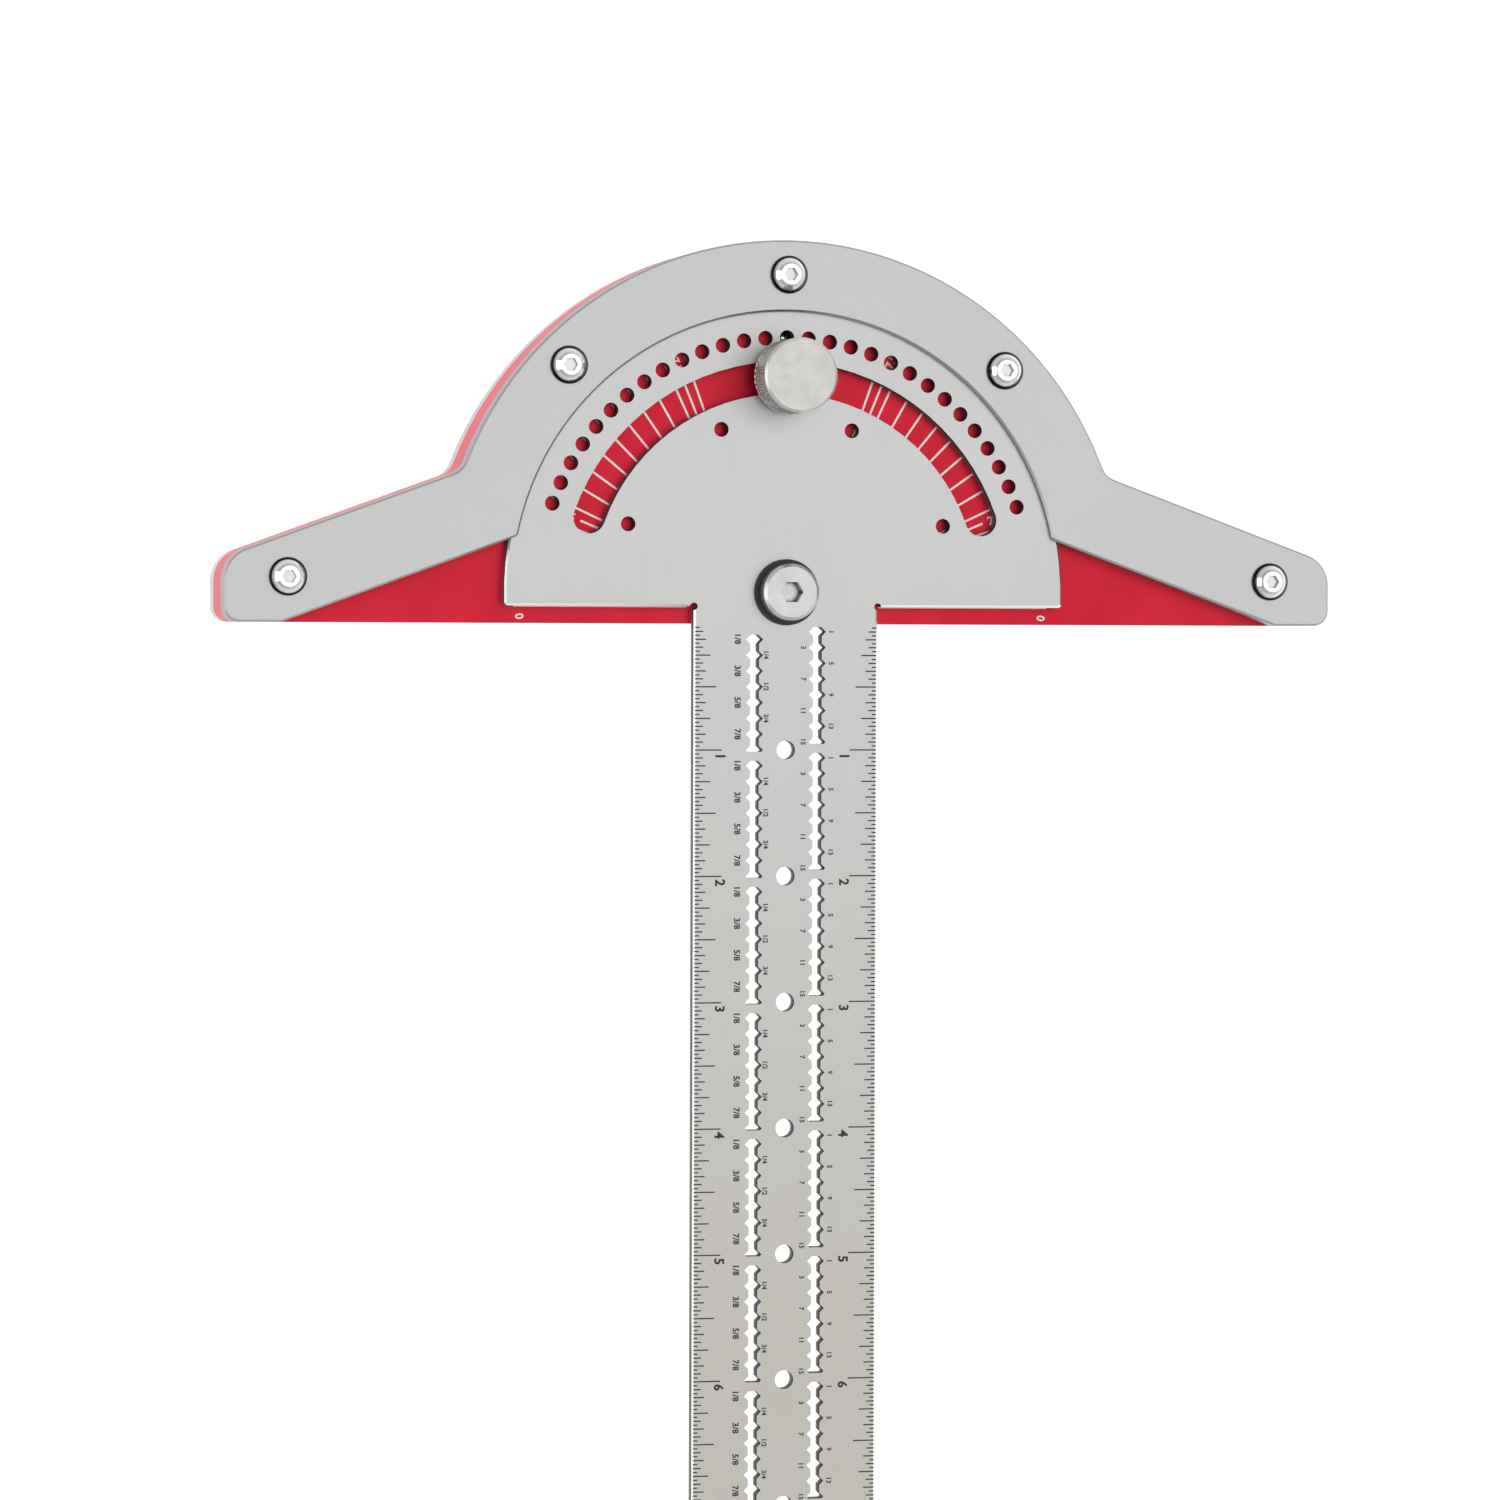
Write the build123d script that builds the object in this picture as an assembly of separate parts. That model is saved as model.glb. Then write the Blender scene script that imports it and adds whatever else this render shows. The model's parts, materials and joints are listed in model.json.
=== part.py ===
"""T-square protractor: a rule blade with a half-disc head that swings in a three-layer fence.

Millimetres, +X to the right, +Y up the ring of the fence, -Y along the blade, +Z up.
The origin is the centre of the fence body's working face, on the inch zero of the rule.
"""

from build123d import *
import math
import os

# ---- driving dimensions -------------------------------------------------------------
inch = 25.4

# rule blade
blade_width = 1.5 * inch
blade_thickness = 3.0
scale_inches = 10
blade_tail = 6.35  # plain metal beyond the last inch mark
blade_end_radius = 1.5
inch_hole_diameter = 3.8

# toothed pencil slots: eight notches on a one-eighth pitch in every inch
slot_spread = 13.0  # between the two columns of slots
pencil_slot_width = 1.8
notch_depth = 0.85
notch_mouth = 1.7
notch_pitch = inch / 8
notch_count = 8
slot_lead = 1.0  # from the slot's round end to its first notch
slot_tail = 0.4  # from its last notch to its square end

# half-disc head
swing_deg = 70
stop_step_deg = 5
head_radius = 57.8
head_edge_drop = 2.9  # the straight edge lies this far below the pivot
head_corner_radius = 0.8
relief_hole_diameter = 1.5
arc_slot_inset = 14.6  # from the rim to the middle of the arc slot
stop_ring_inset = 6.6  # from the rim to the ring of stop holes
fine_ring_inset = 22.5  # from the rim to the holes for the in-between angles
fine_stop_degs = (-67.5, -22.5, 22.5, 67.5)
stop_hole_diameter = 3.0

# fence: three layers on one outline
fence_span = 9 * inch
pivot_offset = inch / 4  # pivot to working face
ring_width = 14.3
ring_screw_inset = 6.95  # from the ring's outer edge to its screws
head_gap = 0.3  # between the head's rim and the wall of the rebate round it
lip_reach = 1.4  # the ring's lip covers the head's rim by this much
lip_thickness = 1.35
lip_gap = 0.1  # between the head's face and the lip
arm_width = 16.0
arm_clearance = 10.15  # between the blade's edge and an arm at full swing
arm_nose_radius = 6.5
arm_toe_radius = 3.0
arm_root_radius = 4.5
frame_corner_radius = 1.0
body_thickness = 9.5
base_thickness = 4.8
slide_gap = 0.05  # the head floats this far above the body

# broken edges
plate_edge = 0.4
body_edge = 0.4

# layer screws
frame_screw_diameter = 4.0
frame_screw_length = 18.0
frame_screw_clearance = 0.3
frame_screw_head_diameter = 7.6
frame_screw_head_height = 2.2
frame_screw_head_edge = 0.4  # straight rim under the dome
frame_screw_crown_diameter = 4.2  # flat on top of the dome
frame_screw_socket = 2.5
frame_screw_socket_depth = 1.3
ring_screw_deg = 45
tip_screw_inset = 12.7  # from the end of an arm

# pivot
shoulder_diameter = 8.0
pivot_thread_diameter = 6.0
bush_wall = 1.5
running_clearance = 0.05
pivot_washer_diameter = 13.3
pivot_washer_thickness = 0.5
cap_diameter = 11.4
cap_height = 4.5
cap_chamfer = 0.6
cap_socket = 4.0
cap_socket_depth = 2.6
float_gap = 0.02  # axial play above and below a washer

# clamp
stud_diameter = 6.0
stud_side_gap = 0.25  # stud to each side of the arc slot
stud_above_head = 9.0
knob_diameter = 15.0
knob_height = 10.0
knob_chamfer = 0.5
knob_neck_wall = 1.2
knob_bore_room = 1.0  # free depth above the stud
clamp_washer_diameter = 13.0
clamp_washer_thickness = 2.3
washer_recess_depth = 1.2
clip_thickness = 0.6
clip_rim = 0.7
clip_groove_depth = 0.4
clip_mouth = 4.6

# spring balls
ball_diameter = 4.0
ball_bore_clearance = 0.05
spring_wire = 0.4
spring_coils = 5
spring_side_gap = 0.15
spring_end_gap = 0.03

thread_point = 0.1  # chamfer at a thread's end, as a share of its diameter
same_place = 0.01  # corners nearer than this are taken for one

# ---- worked-out places --------------------------------------------------------------
pivot = Pos(0, pivot_offset)
arm_lean = math.radians(90 - swing_deg)
seat_z = body_thickness / 2
base_top_z = -body_thickness / 2
head_z = seat_z + slide_gap
head_top_z = head_z + blade_thickness
rebate_top_z = head_top_z + lip_gap
frame_top_z = rebate_top_z + lip_thickness
frame_thickness = frame_top_z - seat_z

arc_slot_width = stud_diameter + 2 * stud_side_gap
arc_slot_radius = head_radius - arc_slot_inset
stop_ring_radius = head_radius - stop_ring_inset
fine_ring_radius = head_radius - fine_ring_inset
ring_inner_radius = head_radius - lip_reach
ring_outer_radius = ring_inner_radius + ring_width
ring_screw_radius = ring_outer_radius - ring_screw_inset
rebate_radius = head_radius + head_gap
arm_inner_offset = blade_width / 2 + arm_clearance
arm_outer_offset = arm_inner_offset + arm_width
bush_diameter = shoulder_diameter + 2 * running_clearance + 2 * bush_wall
neck_diameter = stud_diameter + 2 * running_clearance + 2 * knob_neck_wall


def polar(radius, degrees):
    """Point at a radius from the pivot, its angle counted clockwise from the ring's middle."""
    turn = math.radians(degrees)
    return (radius * math.sin(turn), pivot_offset + radius * math.cos(turn))


def arm_line_y(offset, x):
    """Height at x of the line that leans with an arm and passes the pivot at an offset."""
    return pivot_offset + (offset - abs(x) * math.sin(arm_lean)) / math.cos(arm_lean)


def arm_line_x(offset, y):
    """Distance from the blade's centre line at which that line comes down to a height."""
    return (offset - (y - pivot_offset) * math.cos(arm_lean)) / math.sin(arm_lean)


tip_screw_x = fence_span / 2 - tip_screw_inset
tip_screw_y = arm_line_y(arm_inner_offset + arm_width / 2, tip_screw_x)
frame_screw_places = {
    "frame_screw_top": polar(ring_screw_radius, 0),
    "frame_screw_ring_left": polar(ring_screw_radius, -ring_screw_deg),
    "frame_screw_ring_right": polar(ring_screw_radius, ring_screw_deg),
    "frame_screw_tip_left": (-tip_screw_x, tip_screw_y),
    "frame_screw_tip_right": (tip_screw_x, tip_screw_y),
}
stud_place = polar(arc_slot_radius, 0)
outer_ball_place = polar(stop_ring_radius, 0)
inner_ball_place = polar(fine_ring_radius, 0)


# ---- helpers ------------------------------------------------------------------------
def holes_at(places, diameter):
    """Round holes of one diameter, as a sketch."""
    return Sketch() + [Pos(*place) * Circle(diameter / 2) for place in places]


def plate(sketch, bottom_z, thickness):
    """Flat plate of a given outline, standing on a height."""
    return Pos(0, 0, bottom_z) * extrude(sketch, amount=thickness)


def rim_edges(solid, z):
    """Edges of the outer outline of the flat face at one height."""
    level = solid.faces().filter_by(Axis.Z)
    face = level.filter_by_position(Axis.Z, z - same_place, z + same_place)
    return face.sort_by(SortBy.AREA)[-1].outer_wire().edges()


def bar(diameter, bottom_z, top_z):
    """Upright cylinder on the Z axis between two heights."""
    middle_z = (bottom_z + top_z) / 2
    return Pos(0, 0, middle_z) * Cylinder(diameter / 2, top_z - bottom_z)


def hex_pocket(across_flats, top_z, depth):
    """Hexagonal key socket sunk from a height."""
    hexagon = RegularPolygon(across_flats / 2, 6, major_radius=False)
    return Pos(0, 0, top_z - depth) * extrude(hexagon, amount=depth)


# ---- rule blade ---------------------------------------------------------------------
def pencil_slot():
    """One toothed slot, its first notch at the origin and the others below it."""
    half = pencil_slot_width / 2
    last_y = -(notch_count - 1) * notch_pitch
    end_y = last_y - slot_tail
    round_y = slot_lead - half
    slot = Pos(0, (round_y + end_y) / 2) * Rectangle(pencil_slot_width, round_y - end_y)
    slot += Pos(0, round_y) * Circle(half)
    tip = half + notch_depth
    rise = notch_mouth / 2 * tip / notch_depth
    notch = Polygon((tip, 0), (0, rise), (-tip, 0), (0, -rise), align=None)
    slot += [Pos(0, -n * notch_pitch) * notch for n in range(notch_count)]
    window = Pos(0, (slot_lead + end_y) / 2) * Rectangle(2 * tip, slot_lead - end_y)
    return slot & window


def blade_outline():
    """Half-disc head and straight blade as one outline."""
    edge_y = pivot_offset - head_edge_drop
    above = Pos(0, edge_y + head_radius) * Rectangle(2 * head_radius, 2 * head_radius)
    head = (pivot * Circle(head_radius)) & above
    head = fillet(head.vertices(), head_corner_radius)
    end_y = -(scale_inches * inch + blade_tail)
    overlap_y = pivot_offset
    blade = Pos(0, (end_y + overlap_y) / 2) * Rectangle(blade_width, overlap_y - end_y)
    blade = fillet(blade.vertices().group_by(Axis.Y)[0], blade_end_radius)
    return head + blade


def rule_blade():
    """Head and rule cut from one plate, with every hole and slot."""
    solid = plate(blade_outline(), head_z, blade_thickness)
    rims = rim_edges(solid, head_top_z) + rim_edges(solid, head_z)
    solid = chamfer(rims, plate_edge)

    corner_y = pivot_offset - head_edge_drop
    corners = [(-blade_width / 2, corner_y), (blade_width / 2, corner_y)]
    cuts = holes_at(corners, relief_hole_diameter)
    cuts += holes_at([(0, -n * inch) for n in range(1, scale_inches + 1)], inch_hole_diameter)
    cuts += pivot * Circle(bush_diameter / 2)

    slot = pencil_slot()
    for n in range(scale_inches):
        cuts += Pos(-slot_spread / 2, -n * inch - notch_pitch) * slot
        cuts += Pos(slot_spread / 2, -n * inch - notch_pitch / 2) * slot

    slot_arc = CenterArc((0, 0), arc_slot_radius, 90 - swing_deg, 2 * swing_deg)
    cuts += pivot * SlotArc(slot_arc, arc_slot_width)
    stops = range(-swing_deg, swing_deg + 1, stop_step_deg)
    cuts += holes_at([polar(stop_ring_radius, a) for a in stops], stop_hole_diameter)
    cuts += holes_at([polar(fine_ring_radius, a) for a in fine_stop_degs], stop_hole_diameter)
    return solid - plate(cuts, head_z, blade_thickness)


# ---- fence --------------------------------------------------------------------------
def fence_outline():
    """Outline shared by the three layers: two leaning arms and the half ring between them."""
    half = fence_span / 2
    shoulder_y = arm_line_y(arm_outer_offset, half)
    peak_y = arm_line_y(arm_outer_offset, 0)
    arms = Polygon(
        (-half, 0), (half, 0), (half, shoulder_y), (0, peak_y), (-half, shoulder_y), align=None
    )
    above = Pos(0, ring_outer_radius) * Rectangle(2 * ring_outer_radius, 2 * ring_outer_radius)
    outline = arms + ((pivot * Circle(ring_outer_radius)) & above)
    ends = outline.vertices().filter_by(lambda v: abs(v.X) > half - same_place)
    roots = outline.vertices().filter_by(lambda v: abs(v.X) < half - same_place)
    toes = ends.group_by(Axis.Y)[0]
    noses = ends.group_by(Axis.Y)[-1]
    outline = fillet(roots, arm_root_radius)
    outline = fillet(near(outline, toes), arm_toe_radius)
    return fillet(near(outline, noses), arm_nose_radius)


def near(sketch, marks):
    """The corners of a sketch that lie on the marked points."""
    points = [mark.center() for mark in marks]
    return sketch.vertices().filter_by(
        lambda v: any((v.center() - point).length < same_place for point in points)
    )


def screw_holes(diameter):
    """The five holes that the layer screws pass or enter."""
    return holes_at(frame_screw_places.values(), diameter)


def frame_opening():
    """Room for head and blade in the top frame, its two inner corners eased."""
    foot_y = -arm_width
    foot_x = arm_line_x(arm_inner_offset, foot_y)
    peak_y = arm_line_y(arm_inner_offset, 0)
    valley = Polygon((-foot_x, foot_y), (foot_x, foot_y), (0, peak_y), align=None)
    opening = pivot * Circle(ring_inner_radius) + valley
    corners = opening.vertices().filter_by(lambda v: v.Y > foot_y + same_place)
    return fillet(corners, frame_corner_radius)


def top_frame():
    """Silver C-shaped frame, rebated below so that its lip holds down the head's rim."""
    solid = plate(fence_outline(), seat_z, frame_thickness)
    solid = chamfer(rim_edges(solid, frame_top_z), plate_edge)
    opening = frame_opening()
    flare = extrude(opening, amount=plate_edge, taper=-45)
    solid -= Pos(0, 0, frame_top_z - plate_edge) * flare
    solid -= plate(pivot * Circle(rebate_radius), seat_z, rebate_top_z - seat_z)
    cuts = opening + screw_holes(frame_screw_diameter + frame_screw_clearance)
    return solid - plate(cuts, seat_z, frame_thickness)


def fence_body():
    """Thick middle layer with the working face and the bores of pivot, stud and balls."""
    solid = plate(fence_outline(), base_top_z, body_thickness)
    cuts = screw_holes(frame_screw_diameter + frame_screw_clearance)
    cuts += pivot * Circle(shoulder_diameter / 2 + running_clearance)
    cuts += holes_at([stud_place], stud_diameter)
    cuts += holes_at(
        [outer_ball_place, inner_ball_place], ball_diameter + 2 * ball_bore_clearance
    )
    return solid - plate(cuts, base_top_z, body_thickness)


def base_plate():
    """Lower layer, tapped for the screws and the pivot, its lower rim broken."""
    bottom_z = base_top_z - base_thickness
    solid = plate(fence_outline(), bottom_z, base_thickness)
    solid = chamfer(rim_edges(solid, bottom_z), body_edge)
    cuts = screw_holes(frame_screw_diameter)
    cuts += pivot * Circle(pivot_thread_diameter / 2)
    return solid - plate(cuts, bottom_z, base_thickness)


def frame_screw():
    """Button-head screw, its head seated on the frame's upper face."""
    height = frame_screw_head_height
    rim = frame_screw_head_diameter / 2
    crown = frame_screw_crown_diameter / 2
    edge = frame_screw_head_edge
    outline = Polyline((crown, height), (0, height), (0, 0), (rim, 0), (rim, edge))
    dome = RadiusArc((rim, edge), (crown, height), -rim)
    profile = make_face(Plane.XZ * (outline + dome))
    head = Pos(0, 0, frame_top_z) * revolve(profile, Axis.Z)
    head -= hex_pocket(frame_screw_socket, frame_top_z + height, frame_screw_socket_depth)
    shank = bar(frame_screw_diameter, frame_top_z - frame_screw_length, frame_top_z)
    shank = chamfer(shank.edges().group_by(Axis.Z)[0], thread_point * frame_screw_diameter)
    return head + shank


# ---- pivot --------------------------------------------------------------------------
washer_z = head_top_z + float_gap
cap_z = washer_z + pivot_washer_thickness + float_gap


def pivot_screw():
    """Shoulder screw with a tall round cap; its thread ends in the base plate."""
    cap_top_z = cap_z + cap_height
    cap = bar(cap_diameter, cap_z, cap_top_z)
    cap = chamfer(cap.edges().group_by(Axis.Z)[-1], cap_chamfer)
    cap -= hex_pocket(cap_socket, cap_top_z, cap_socket_depth)
    shoulder = bar(shoulder_diameter, base_top_z, cap_z)
    thread = bar(pivot_thread_diameter, base_top_z - base_thickness + body_edge, base_top_z)
    return pivot * (cap + shoulder + thread)


def pivot_bush():
    """Plain bush pressed into the head."""
    sleeve = bar(bush_diameter, head_z, head_top_z)
    return pivot * (sleeve - bar(shoulder_diameter + 2 * running_clearance, head_z, head_top_z))


def pivot_washer():
    """Black washer between head and cap."""
    top_z = washer_z + pivot_washer_thickness
    disc = bar(pivot_washer_diameter, washer_z, top_z)
    return pivot * (disc - bar(shoulder_diameter + 2 * running_clearance, washer_z, top_z))


# ---- clamp --------------------------------------------------------------------------
clamp_washer_z = head_top_z + float_gap
clamp_washer_top_z = clamp_washer_z + clamp_washer_thickness
knob_z = clamp_washer_top_z + float_gap
recess_top_z = clamp_washer_z + washer_recess_depth
clip_top_z = recess_top_z - float_gap
clip_z = clip_top_z - clip_thickness
neck_end_z = clamp_washer_z + float_gap
stud_top_z = head_top_z + stud_above_head


def clamp_stud():
    """Stud screwed into the fence body and standing up through the arc slot."""
    stud = bar(stud_diameter, base_top_z, stud_top_z)
    stud = chamfer(stud.edges().group_by(Axis.Z)[-1], thread_point * stud_diameter)
    return Pos(*stud_place) * stud


def clamp_knob():
    """Round knob with a blind bore and a grooved neck that carries the washer."""
    knob = bar(knob_diameter, knob_z, knob_z + knob_height)
    ends = knob.edges().group_by(Axis.Z)
    knob = chamfer(ends[0] + ends[-1], knob_chamfer)
    knob += bar(neck_diameter, neck_end_z, knob_z)
    groove = bar(neck_diameter, clip_z, clip_top_z)
    groove -= bar(neck_diameter - 2 * clip_groove_depth, clip_z, clip_top_z)
    bore = bar(stud_diameter + 2 * running_clearance, neck_end_z, stud_top_z + knob_bore_room)
    return Pos(*stud_place) * (knob - groove - bore)


def clamp_washer():
    """Washer that bridges the arc slot, with a recess below for its clip."""
    washer = bar(clamp_washer_diameter, clamp_washer_z, clamp_washer_top_z)
    washer -= bar(neck_diameter + 2 * running_clearance, clamp_washer_z, clamp_washer_top_z)
    recess = neck_diameter + 2 * clip_rim + 2 * running_clearance
    washer -= bar(recess, clamp_washer_z, recess_top_z)
    return Pos(*stud_place) * washer


def clamp_clip():
    """Open ring sprung into the neck's groove, keeping the washer on the knob."""
    inside = neck_diameter - 2 * clip_groove_depth
    ring = bar(neck_diameter + 2 * clip_rim, clip_z, clip_top_z)
    ring -= bar(inside, clip_z, clip_top_z)
    mouth = Pos(0, -neck_diameter / 2, (clip_z + clip_top_z) / 2)
    ring -= mouth * Box(clip_mouth, neck_diameter, clip_thickness)
    return Pos(*stud_place) * ring


# ---- spring balls -------------------------------------------------------------------
ball_z = seat_z - ball_diameter / 2


def stop_ball(place):
    """Steel ball just under the head, in its bore."""
    return Pos(*place, ball_z) * Sphere(ball_diameter / 2)


def stop_spring(place):
    """Compression spring between the base plate and a ball."""
    coil_radius = ball_diameter / 2 - spring_side_gap - spring_wire / 2
    reach = ball_diameter / 2 + spring_wire / 2
    touch_z = ball_z - math.sqrt(reach**2 - coil_radius**2) - spring_end_gap
    foot_z = base_top_z + spring_wire / 2 + spring_end_gap
    height = touch_z - foot_z
    path = Helix(height / spring_coils, height, coil_radius)
    wire = Plane(origin=path @ 0, z_dir=path % 0) * Circle(spring_wire / 2)
    return Pos(*place, foot_z) * sweep(wire, path)


# ---- write every sub-part -----------------------------------------------------------
parts = {
    "rule_blade": rule_blade(),
    "fence_body": fence_body(),
    "top_frame": top_frame(),
    "base_plate": base_plate(),
    "pivot_screw": pivot_screw(),
    "pivot_bush": pivot_bush(),
    "pivot_washer": pivot_washer(),
    "clamp_stud": clamp_stud(),
    "clamp_knob": clamp_knob(),
    "clamp_washer": clamp_washer(),
    "clamp_clip": clamp_clip(),
    "outer_stop_ball": stop_ball(outer_ball_place),
    "outer_stop_spring": stop_spring(outer_ball_place),
    "inner_stop_ball": stop_ball(inner_ball_place),
    "inner_stop_spring": stop_spring(inner_ball_place),
}
for name, place in frame_screw_places.items():
    parts[name] = Pos(*place) * frame_screw()

os.makedirs("parts", exist_ok=True)
for name, solid in parts.items():
    export_step(solid, f"parts/{name}.step")
    size = solid.bounding_box().size
    print(f"{name:24s} {size.X:7.2f} {size.Y:7.2f} {size.Z:6.2f}  {solid.volume:10.1f} mm3")
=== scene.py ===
# %% [markdown]
# # A T-square protractor
#
# The tool is a steel rule whose top end widens into a half-disc head. The head swings between the
# layers of a red and silver fence, clicks at every five degrees and is clamped by a round knob.
#
# The shapes of its pieces come ready-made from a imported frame, and they stay as they are. This
# lesson adds what a drawing of the parts leaves out: the finish of each metal, the engraved scales
# and numerals, the knurled knob, and the studio round it. The frame comes first, because every
# later place is read from it.

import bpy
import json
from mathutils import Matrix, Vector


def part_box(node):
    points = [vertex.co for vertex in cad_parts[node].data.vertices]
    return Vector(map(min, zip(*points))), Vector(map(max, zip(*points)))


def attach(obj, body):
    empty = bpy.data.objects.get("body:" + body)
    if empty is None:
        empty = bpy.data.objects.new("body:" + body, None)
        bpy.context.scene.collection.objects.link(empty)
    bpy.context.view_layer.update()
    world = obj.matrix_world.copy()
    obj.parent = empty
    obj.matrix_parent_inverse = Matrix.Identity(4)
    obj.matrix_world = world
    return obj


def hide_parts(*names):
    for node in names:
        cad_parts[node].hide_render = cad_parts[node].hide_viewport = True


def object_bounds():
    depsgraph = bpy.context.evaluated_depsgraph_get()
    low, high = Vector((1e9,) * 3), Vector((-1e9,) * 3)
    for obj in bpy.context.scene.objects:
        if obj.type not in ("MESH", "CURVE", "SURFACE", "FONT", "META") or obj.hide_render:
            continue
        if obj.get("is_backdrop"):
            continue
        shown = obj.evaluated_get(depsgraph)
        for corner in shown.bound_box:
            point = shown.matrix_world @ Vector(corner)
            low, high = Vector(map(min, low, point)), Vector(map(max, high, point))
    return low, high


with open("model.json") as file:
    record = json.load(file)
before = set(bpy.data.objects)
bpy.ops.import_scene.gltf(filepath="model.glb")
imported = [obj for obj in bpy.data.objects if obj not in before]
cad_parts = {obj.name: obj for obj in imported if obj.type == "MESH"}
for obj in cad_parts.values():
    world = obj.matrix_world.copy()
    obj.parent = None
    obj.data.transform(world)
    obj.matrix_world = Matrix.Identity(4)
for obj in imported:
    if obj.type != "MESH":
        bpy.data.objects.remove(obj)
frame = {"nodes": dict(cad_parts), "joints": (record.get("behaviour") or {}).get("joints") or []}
frame_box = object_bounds()
print("nodes:", len(frame["nodes"]))

# %% Bring in Blender's tools
import json
import math

import bmesh
import bpy
from mathutils import Matrix, Vector

mm = 0.001
inch = 25.4 * mm

# %% [markdown]
# ## Where things are
#
# Three places steer almost everything: the pivot, about which the head swings; the head's upper
# face, where the rule is marked; and the red body's upper face, where the angle scale is engraved.
# They could be typed in as numbers, but then they would be wrong as soon as the design changed.
# They are read from the frame instead.

# %% Read the main places
def joint(name):
    """One joint of the frame's record, by name."""
    return next(j for j in frame["joints"] if j["name"] == name)


blade_low, blade_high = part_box("rule_blade")
pivot = Vector(joint("blade_swing")["pos_m"])
head_top = blade_high.z
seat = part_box("fence_body")[1].z
frame_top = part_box("top_frame")[1].z
head_radius = blade_high.x
print(f"head radius {head_radius / mm:.1f} mm, its face at {head_top / mm:.2f} mm")
print(f"red body's face at {seat / mm:.2f} mm, pivot {pivot.y / mm:.2f} mm above the edge")

# %% [markdown]
# ## The camera
#
# A measuring tool is best shown from far away with a long lens, so that its scale isn't drawn out
# of shape. The camera stands one and a quarter metres above the head. It is leaned to the left, so
# that the left walls of the fence show, and a touch towards the far end. One could aim it with a
# tracking constraint, but a plain chain of turns keeps the few numbers in sight: shift the pivot
# in the picture, step back, and lean.

# %% Place the camera
camera_distance = 1.252
lean_left = math.radians(13.55)
lean_back = math.radians(0.94)
roll = math.radians(0.05)
pivot_right_of_middle = 7.3 * mm
pivot_above_middle = 31.75 * mm

lean = (
    Matrix.Rotation(roll, 4, "Z")
    @ Matrix.Rotation(lean_left, 4, "Y")
    @ Matrix.Rotation(lean_back, 4, "X")
)
pivot_on_head = Vector((pivot.x, pivot.y, head_top))
step_back = Vector((-pivot_right_of_middle, -pivot_above_middle, camera_distance))
camera_data = bpy.data.cameras.new("camera")
camera_data.lens = 149.3
camera_data.clip_start = 0.05
camera = bpy.data.objects.new("camera", camera_data)
camera.matrix_world = (
    Matrix.Translation(pivot_on_head) @ lean.inverted() @ Matrix.Translation(step_back)
)
bpy.context.scene.collection.objects.link(camera)
bpy.context.scene.camera = camera
print("camera at", [round(x, 3) for x in camera.matrix_world.translation])

# %% [markdown]
# ## A light table for a floor
#
# Polished metal shows the room more than itself, so the room decides how the tool looks. Tools like
# this one are often photographed on a light table, whose white glass glows from below. It shows the
# slots of the rule as clean white shapes, and leaves only a faint shadow. A lit white floor under a
# strong lamp would do nearly the same, but the slots would stay grey, because little light gets down
# to the floor through them. So the floor glows by itself, and takes a little light from above.

# %% Lay the glowing floor
def light_table(name, glow):
    """White glass, lit from below, with a faint unevenness."""
    material = bpy.data.materials.new(name)
    material.use_nodes = True
    tree = material.node_tree
    shader = tree.nodes["Principled BSDF"]
    shader.inputs["Roughness"].default_value = 0.7
    shader.inputs["Specular IOR Level"].default_value = 0.0
    noise = tree.nodes.new("ShaderNodeTexNoise")
    noise.inputs["Scale"].default_value = 3.0
    mix = tree.nodes.new("ShaderNodeMix")
    mix.data_type = "RGBA"
    a, b = [socket for socket in mix.inputs if socket.enabled and socket.name in "AB"]
    a.default_value = (0.50, 0.50, 0.50, 1)
    b.default_value = (0.49, 0.49, 0.49, 1)
    result = next(socket for socket in mix.outputs if socket.enabled)
    tree.links.new(noise.outputs["Fac"], mix.inputs["Factor"])
    tree.links.new(result, shader.inputs["Base Color"])
    shader.inputs["Emission Color"].default_value = (1, 1, 1, 1)
    shader.inputs["Emission Strength"].default_value = glow
    return material


floor_radius = 4.0
air_under_tool = 0.02 * mm
floor_mesh = bpy.data.meshes.new("floor")
floor_shape = bmesh.new()
bmesh.ops.create_circle(floor_shape, cap_ends=True, radius=floor_radius, segments=96)
floor_shape.to_mesh(floor_mesh)
floor_shape.free()
floor = bpy.data.objects.new("floor", floor_mesh)
floor.location.z = frame_box[0][2] - air_under_tool
floor_mesh.materials.append(light_table("white_glass", glow=0.82))
bpy.context.scene.collection.objects.link(floor)
floor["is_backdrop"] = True
print(f"floor at {floor.location.z / mm:.2f} mm")

# %% [markdown]
# ## Soft light, shaded room
#
# A flat plate mirrors only what is above it, so one wide softbox overhead makes every plate an even
# light grey. A domed screw head mirrors the whole room. If the room were white too, the screws would
# vanish, so it is a middle grey high up, round the softbox, and one upright softbox at the left gives
# each dome its highlight. Lower down the walls are paler, so that the plates stay light when the tool
# is seen from the side, and no dark line stands behind it.

# %% Light the studio
def softbox(name, place, aim, size, power):
    """A rectangular area light that faces a point and can't be seen itself."""
    light = bpy.data.lights.new(name, "AREA")
    light.shape = "RECTANGLE"
    light.size, light.size_y = size
    light.energy = power
    lamp = bpy.data.objects.new(name, light)
    lamp.location = place
    facing = Vector(aim) - Vector(place)
    lamp.rotation_euler = facing.to_track_quat("-Z", "Y").to_euler()
    lamp.visible_camera = False
    bpy.context.scene.collection.objects.link(lamp)


softbox("ceiling_softbox", (0.66, 0.0, 2.2), (0.66, 0.0, 0.0), (2.2, 2.4), 13.2)
softbox("left_softbox", (-1.35, 0.0, 0.8), (0, 0, 0), (1.2, 0.75), 8)

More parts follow.
